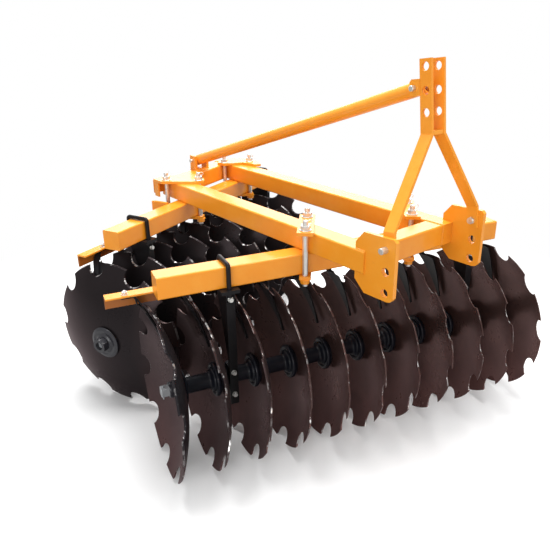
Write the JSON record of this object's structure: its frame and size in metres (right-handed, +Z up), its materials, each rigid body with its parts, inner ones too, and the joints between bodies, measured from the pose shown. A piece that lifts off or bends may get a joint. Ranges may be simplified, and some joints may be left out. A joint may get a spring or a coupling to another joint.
{
  "type": "offset disc harrow",
  "caption": "Offset disc harrow for a three-point hitch: two angled gangs of notched discs under a tube frame with an A mast and brace.",
  "frame": {"origin": "on the ground, under the middle of the overall length and width", "axes": "+X forward to the tractor, +Y left, +Z up"},
  "size_m": [1.9457, 1.6166, 1.3741],
  "materials": {
    "frame_paint": "semi-gloss orange-yellow paint",
    "zinc_plate": "zinc plated steel",
    "black_paint": "satin black paint",
    "black_casting": "black painted casting",
    "disc_steel": "gloss dark lacquer over steel, bright at the edge",
    "axle_steel": "grey rolled square bar"
  },
  "bodies": {
    "frame": {"long_beam_right": "frame_paint", "long_beam_left": "frame_paint", "front_crossbeam": "frame_paint", "rear_crossbeam": "frame_paint", "hitch_plate_right": "frame_paint", "hitch_plate_left": "frame_paint", "mast_plate_right": "frame_paint", "mast_plate_left": "frame_paint", "mast_spacer": "frame_paint", "brace_pipe": "frame_paint", "brace_lug": "frame_paint", "corner_plate_right": "frame_paint", "corner_plate_left": "frame_paint", "front_gang_beam": "frame_paint", "rear_gang_beam": "frame_paint", "front_clamp_plates": "frame_paint", "rear_clamp_plates": "frame_paint", "front_scraper_bar": "frame_paint", "rear_scraper_bar": "frame_paint", "mast_bolts": "zinc_plate", "brace_pins": "zinc_plate", "front_clamp_bolts": "zinc_plate", "rear_clamp_bolts": "zinc_plate", "front_hangers": "black_paint", "rear_hangers": "black_paint", "front_u_bolts": "black_paint", "rear_u_bolts": "black_paint", "front_scrapers": "black_paint", "rear_scrapers": "black_paint", "front_bearings": "black_casting", "rear_bearings": "black_casting"},
    "front_gang": {"front_axle": "axle_steel", "front_discs": "disc_steel", "front_spools": "black_casting"},
    "rear_gang": {"rear_axle": "axle_steel", "rear_discs": "disc_steel", "rear_spools": "black_casting"}
  },
  "joints": [
    {"name": "front_gang_spin", "type": "hinge", "parent": "frame", "child": "front_gang", "pos_m": [0.50367, 0.04761, 0.305], "axis": [0.2723, 0.9622, 0], "continuous": true},
    {"name": "rear_gang_spin", "type": "hinge", "parent": "frame", "child": "rear_gang", "pos_m": [-0.47563, 0.04761, 0.305], "axis": [-0.3923, 0.9198, 0], "continuous": true}
  ]
}
